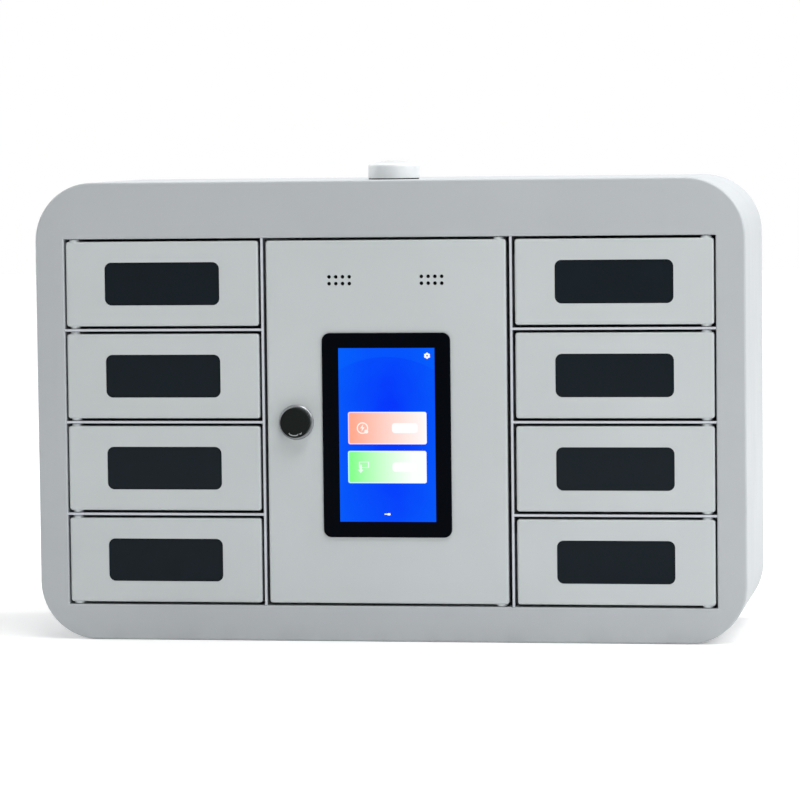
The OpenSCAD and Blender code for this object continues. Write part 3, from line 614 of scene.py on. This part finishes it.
def distance_from(finish, middle, upright=1):
    """The distance in X and Z from a middle in millimetres, with less weight for Z if asked."""
    place = (-middle[0] * MM, 0, -upright * middle[1] * MM)
    moved = step(finish, "Mapping", {"Vector": place_on(finish), "Scale": (1, 0, upright),
                                     "Location": place})
    length = finish.node_tree.nodes.new("ShaderNodeVectorMath")
    length.operation = "LENGTH"
    link(finish, moved, length.inputs[0])
    return length.outputs["Value"]


def lit_ground(name, middle, deep, pale, arc_middle, arc_radius):
    """Deep colour down the middle, paler to the sides, and outside one large arc paler again."""
    def shade_of(finish):
        aside = remap(finish, distance_from(finish, middle, 0.3), 0, 1, 0.008, 0.052)
        shade = mix_colours(finish, aside, deep, pale)
        outside = remap(finish, distance_from(finish, arc_middle), 0, 0.22,
                        arc_radius * MM, (arc_radius + 0.8) * MM)
        shade = mix_colours(finish, outside, shade, srgb(0, 112, 255))
        drift = remap(finish, mottle(finish, 30, 2), 0, 0.16)
        return mix_colours(finish, drift, shade, srgb(0, 106, 255))

    return lit_finish(name, shade_of)


WHITE = srgb(255, 255, 255)
picture_blue = lit_ground("picture_blue", (2, 190), srgb(0, 52, 252), srgb(0, 90, 251),
                          (0, 167), 84)
salmon_button = lit_across("salmon_button", srgb(255, 168, 140), srgb(255, 250, 248), -31, 34)
green_button = lit_across("green_button", srgb(132, 255, 140), srgb(252, 255, 254), -31, 22)
pink_rim = lit_across("pink_rim", srgb(255, 214, 255), WHITE, -36, 20)
cyan_rim = lit_across("cyan_rim", srgb(196, 255, 255), WHITE, -36, 20)
white_mark = lit_across("white_mark", WHITE, WHITE, -40, 40)
faint_mark = lit_across("faint_mark", srgb(255, 246, 238), srgb(255, 248, 242), -40, 40)
mint_mark = lit_across("mint_mark", srgb(232, 255, 240), srgb(236, 255, 246), -40, 40)
print("picture finishes ready")

# %% [markdown]
# ## The picture on the touch screen
# The picture is a blue ground with two large buttons. Their wording is left out: a plain white pill
# holds its place on each. The glass over the real picture is one smooth sheet, so the pieces here
# are only a few hundredths of a millimetre thick, each a little in front of the last.

# %% Ground and buttons
GLASS_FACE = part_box("cover_glass")[0].y * 1000
LAYER = 0.04
OVERLAP = 0.02


def hang_sign(bm, name, finish, centre, layer):
    """Makes a flat outline a piece of the picture: its centre in X and Z, and its layer."""
    thicken(bm, LAYER + OVERLAP)
    back = GLASS_FACE + OVERLAP - layer * LAYER
    hang(bm, name, finish, "service_door", (centre[0], back, centre[1]))


def picture_plate(name, finish, centre, size, radius, layer):
    """A plate of the picture, with rounded corners."""
    hang_sign(plate_outline(*size, radius), name, finish, centre, layer)


picture_plate("screen_picture", picture_blue, (0, 182.8), (85.4, 152.9), 0, 0)
picture_plate("upper_button_rim", pink_rim, (0.2, 188.9), (69.8, 28.5), 1.8, 1)
picture_plate("upper_button", salmon_button, (0.2, 188.9), (68.0, 26.7), 1.2, 2)
picture_plate("lower_button_rim", cyan_rim, (-0.2, 154.6), (69.8, 28.5), 1.8, 1)
picture_plate("lower_button", green_button, (-0.2, 154.6), (68.0, 26.7), 1.2, 2)
picture_plate("upper_pill", white_mark, (15.8, 188.9), (23, 8.8), 2.6, 3)
picture_plate("lower_pill", white_mark, (15.4, 154.6), (22, 8.2), 2.6, 3)

# %% [markdown]
# ## The gear and the button signs
# The gear is a ring whose outer edge swells six times. Its outer circle has 48 points, and those in
# the middle half of each sixth are scaled outward for the lobes. A bridge of faces joins it to the
# inner circle. The other signs are a ring with a bolt for charging, and a plain tray with an arrow
# for taking out. Bolt and arrow are single faces round a few points.

# %% Gear
def ring_outline(outer, inner, segments=40):
    """A flat ring between two radii, around the origin."""
    bm = bmesh.new()
    for radius in (outer, inner):
        bmesh.ops.create_circle(bm, cap_ends=False, radius=radius, segments=segments)
    bmesh.ops.bridge_loops(bm, edges=bm.edges[:])
    return bm


GEAR_OUTER = 2.35
gear_bm = ring_outline(GEAR_OUTER, 0.75, 48)
lobes = []
for vert in gear_bm.verts:
    turn = math.degrees(math.atan2(vert.co.y, vert.co.x)) % 60
    if vert.co.length > GEAR_OUTER / 2 and 15 < turn < 45:
        lobes.append(vert)
bmesh.ops.scale(gear_bm, vec=(1.2, 1.2, 1), verts=lobes)
hang_sign(gear_bm, "settings_gear", white_mark, (36.2, 252.4), 1)


# %% Button signs
def face_outline(points):
    """One flat face round a list of points."""
    bm = bmesh.new()
    for point in points:
        bm.verts.new((*point, 0))
    bm.faces.new(bm.verts[:])
    return bm


hang_sign(ring_outline(5.1, 4.1), "charge_ring", faint_mark, (-21.9, 188.9), 3)
bolt = ((0.9, 3.4), (-2.0, -0.4), (-0.2, -0.4), (-0.9, -3.4), (2.0, 0.5), (0.2, 0.5))
hang_sign(face_outline(bolt), "charge_bolt", faint_mark, (-22.0, 189.1), 3)
picture_plate("charge_badge", faint_mark, (-18.5, 185.9), (3.4, 3.4), 1.4, 4)

tray_bm = ring_outline(1, 0.78, 4)
eighth = Matrix.Rotation(math.radians(45), 3, "Z")
bmesh.ops.rotate(tray_bm, cent=(0, 0, 0), matrix=eighth, verts=tray_bm.verts[:])
bmesh.ops.scale(tray_bm, vec=(6.4, 3.9, 1), verts=tray_bm.verts[:])
hang_sign(tray_bm, "take_out_tray", mint_mark, (-20.9, 156.6), 3)
arrow = ((0, -4.4), (2.6, -1.4), (1.1, -1.4), (1.1, 3), (-1.1, 3), (-1.1, -1.4), (-2.6, -1.4))
hang_sign(face_outline(arrow), "take_out_arrow", mint_mark, (-23.9, 153.7), 4)
picture_plate("page_mark", white_mark, (0.8, 113.0), (3.0, 2.0), 0.9, 1)
picture_plate("page_mark_tail", white_mark, (-1.9, 113.1), (2.6, 0.9), 0.3, 1)

# %% [markdown]
# ## Lip of the dust cover
# The round cover in front of the keyhole swings aside when a thumb catches the small lip along its
# lower edge. The lip's pale metal colour is a painted glint for the light that catches it. It is a
# curved bar in two lengths. Each is one short edge spun about the cover's middle, and its ends are
# then bent a little inwards. The flat bars are thickened like the signs on the screen.

# %% Lip of the cover
END_BEND = 0.9
LIP_THICKNESS = 0.5
LIP_SUNK = 0.05


def arc_bar(bm, inner, outer, start, end, segments=16):
    """A curved bar between two radii and between two angles in degrees."""
    others = set(bm.verts)
    width = [bm.verts.new((radius, 0, 0)) for radius in (inner, outer)]
    edge = bm.edges.new(width)
    bmesh.ops.rotate(bm, cent=(0, 0, 0), matrix=Matrix.Rotation(math.radians(start), 3, "Z"),
                     verts=width)
    bmesh.ops.spin(bm, geom=[*width, edge], axis=(0, 0, 1), cent=(0, 0, 0),
                   angle=math.radians(end - start), steps=segments)
    middle = math.radians(start + end) / 2
    half = math.radians(end - start) / 2
    for vert in set(bm.verts) - others:
        from_middle = (math.atan2(vert.co.y, vert.co.x) - middle) / half
        vert.co -= vert.co.normalized() * END_BEND * abs(from_middle) ** 6


cover_low, cover_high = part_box("dust_cover")
lip_spot = ((cover_low.x + cover_high.x) * 500, cover_low.y * 1000 + LIP_SUNK,
            (cover_low.z + cover_high.z) * 500)
# Painted glint: the lip's pale metal colour stands for the light it catches.
lip_glint = drawn_metal("lip_glint", srgb(150, 154, 156), 0.35, (0.3, 1, 1))
lip_bm = bmesh.new()
arc_bar(lip_bm, 10.7, 11.5, -120, -72)
arc_bar(lip_bm, 10.5, 11.3, -67, -54, 8)
thicken(lip_bm, LIP_THICKNESS)
hang(lip_bm, "cover_lip", lip_glint, "dust_cover", lip_spot)

# %% [markdown]
# ## Screws in the back panel
# Pan-head screws with a cross recess hold the back panel. A head starts as a disc, and its rim is
# pulled up in four bands that draw in to a dome. The recess is made the other way round: its floor
# is a small cross, whose rim is pulled up to the top and a little outwards. The flat ring between
# the two rims is then filled. One head is copied to all twelve places: eight along the top and
# bottom, and two up each side.

# %% Screw head
HEAD_SEGMENTS = 24
CROSS_TAPER = 0.8
HEAD_RADIUS = 3.8


def pull_rim(bm, rim, rise, spread):
    """Pulls a rim of edges up into a band of faces, and scales the new rim that it returns."""
    pulled = bmesh.ops.extrude_edge_only(bm, edges=rim)["geom"]
    moved = [item for item in pulled if isinstance(item, bmesh.types.BMVert)]
    bmesh.ops.translate(bm, vec=(0, 0, rise), verts=moved)
    bmesh.ops.scale(bm, vec=(spread, spread, 1), verts=moved)
    return [item for item in pulled if isinstance(item, bmesh.types.BMEdge) and item.is_boundary]


def screw_head(radius, height, arm, slot, depth):
    """A pan head from Z 0 up. The cross has arms of that reach, width and depth."""
    bm = bmesh.new()
    bmesh.ops.create_circle(bm, cap_ends=True, radius=radius, segments=HEAD_SEGMENTS)
    rim = bm.edges[:]
    wide, up = 1, 0
    for next_wide, next_up in ((1, 0.35), (0.95, 0.62), (0.82, 0.86), (0.64, 1)):
        rim = pull_rim(bm, rim, (next_up - up) * height, next_wide / wide)
        wide, up = next_wide, next_up
    half = slot / 2
    cross = [(half, -arm), (half, -half), (arm, -half), (arm, half), (half, half), (half, arm)]
    cross += [(-x, -y) for x, y in cross]
    bottom = bm.faces.new([bm.verts.new((x * CROSS_TAPER, y * CROSS_TAPER, height - depth))
                           for x, y in cross])
    mouth = pull_rim(bm, bottom.edges[:], depth, 1 / CROSS_TAPER)
    bmesh.ops.triangle_fill(bm, use_beauty=True, edges=rim + mouth, normal=(0, 0, 1))
    bmesh.ops.recalc_face_normals(bm, faces=bm.faces[:])
    return bm


back_head = screw_head(HEAD_RADIUS, height=2.2, arm=2.0, slot=0.9, depth=1.3)
print("screw head:", len(back_head.faces), "faces")


# %% Back screws
FACE_BACK = Matrix.Rotation(math.radians(-90), 3, "X")


def repeat_at(source, spots, depth):
    """Copies a small shape, made around Z, to each spot, facing the back."""
    bm = bmesh.new()
    pattern = bpy.data.meshes.new("pattern")
    source.to_mesh(pattern)
    source.free()
    for x, z in spots:
        before = set(bm.verts)
        bm.from_mesh(pattern)
        fresh = [vert for vert in bm.verts if vert not in before]
        bmesh.ops.rotate(bm, cent=(0, 0, 0), matrix=FACE_BACK, verts=fresh)
        bmesh.ops.translate(bm, vec=(x, depth, z), verts=fresh)
    bpy.data.meshes.remove(pattern)
    bmesh.ops.scale(bm, vec=(MM, MM, MM), verts=bm.verts[:])
    return bm


# The pads at the wall holes stand PAD_HEIGHT behind the panel's flat back.
PAD_HEIGHT = 3
COLUMN_SHARES = (-0.36, -0.12, 0.12, 0.36)
ROW_SHARES = (-0.3, 0.3)
screws_low, screws_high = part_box("back_screws")
casing_low, casing_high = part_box("casing")
panel_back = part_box("back_panel")[1].y * 1000 - PAD_HEIGHT
case_w = (casing_high.x - casing_low.x) * 1000
case_h = casing_high.z * 1000
side_x = screws_high.x * 1000 - HEAD_RADIUS
edge_z = (screws_high.z - screws_low.z) * 500 - HEAD_RADIUS
screw_spots = [(share * case_w, case_h / 2 + end * edge_z)
               for share in COLUMN_SHARES for end in (-1, 1)]
screw_spots += [(end * side_x, case_h / 2 + share * case_h)
                for end in (-1, 1) for share in ROW_SHARES]
heads = finish_piece(repeat_at(back_head, screw_spots, panel_back), "screw_heads",
                     zinc_fittings, "cabinet", smooth=True)
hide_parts("back_screws")
print("screws at x", round(side_x, 1), "and z", round(edge_z, 1))

# %% [markdown]
# ## Screws in the strikes
# Each door's strike is held by two small screws through its foot, seen when the door stands open.
# They are of the same kind as on the back, but smaller, and they ride on their own door. A strike's
# box gives the place: its foot is as high as the box, and the holes lie a millimetre outside its
# middle.

# %% Strike screws
STRIKE_PLATE = 2.0
HOLE_ASIDE = 1.0
HOLE_FROM_END = 4.0
for side, outward in (("left", -HOLE_ASIDE), ("right", HOLE_ASIDE)):
    for row in range(1, 5):
        strike_low, strike_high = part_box(f"strike_{side}_{row}")
        x = (strike_low.x + strike_high.x) * 500 + outward
        spots = [(x, strike_low.z * 1000 + HOLE_FROM_END),
                 (x, strike_high.z * 1000 - HOLE_FROM_END)]
        small_head = screw_head(2.8, height=1.6, arm=1.5, slot=0.7, depth=0.9)
        screws = repeat_at(small_head, spots, strike_low.y * 1000 + STRIKE_PLATE)
        finish_piece(screws, f"strike_screws_{side}_{row}", zinc_fittings,
                     f"door_{side}_{row}", smooth=True)

# %% [markdown]
# ## Marks on the mains switch
# A rocker carries a bar for on and a ring for off. These two signs are the same on every such
# switch. They are thin raised prints, so each is a flat plate or ring, laid on the hollow that a
# finger presses. That hollow is part of a cylinder, whose middle lies well behind the rocker's
# pivot. The lower end is pressed in and carries the bar, so the locker is switched on, like its
# screen.

# %% Switch marks
ROCKER_ASIDE = 15
PIVOT_DEPTH = 5
HOLLOW_RADIUS = 22.0
HOLLOW_MIDDLE = 27.2
MARK_SUNK = 0.16
MARK_HEIGHT = 3.7
PRESSED_IN = Matrix.Rotation(math.radians(8), 3, "X")
FACING_BACK = Matrix(((-1, 0, 0), (0, 0, 1), (0, 1, 0))).to_4x4()
inlet_low, inlet_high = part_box("power_inlet")
rocker_pivot = ((inlet_low.x + inlet_high.x) * 500 - ROCKER_ASIDE, panel_back - PIVOT_DEPTH,
                (inlet_low.z + inlet_high.z) * 500)


def on_rocker(bm, name, up):
    """Lays a mark on the rocker's hollow face, at a height above or below its pivot."""
    reach = math.sqrt(HOLLOW_RADIUS ** 2 - up ** 2)
    slope = Matrix.Rotation(math.atan(up / reach), 3, "X")
    bmesh.ops.rotate(bm, cent=(0, 0, 0), matrix=slope, verts=bm.verts[:])
    bmesh.ops.translate(bm, vec=(0, up, HOLLOW_MIDDLE - reach - MARK_SUNK), verts=bm.verts[:])
    bmesh.ops.rotate(bm, cent=(0, 0, 0), matrix=PRESSED_IN, verts=bm.verts[:])
    bmesh.ops.transform(bm, matrix=FACING_BACK, verts=bm.verts[:])
    bmesh.ops.translate(bm, vec=rocker_pivot, verts=bm.verts[:])
    bmesh.ops.scale(bm, vec=(MM, MM, MM), verts=bm.verts[:])
    finish_piece(bm, name, white_moulding, "power_rocker")


bar_bm = plate_outline(0.9, 3.4, 0.2)
thicken(bar_bm, 0.26)
on_rocker(bar_bm, "switch_bar", -MARK_HEIGHT)
off_bm = ring_outline(1.8, 1.15, 32)
thicken(off_bm, 0.3)
on_rocker(off_bm, "switch_ring", MARK_HEIGHT)
print("rocker pivot", [round(v, 2) for v in rocker_pivot])
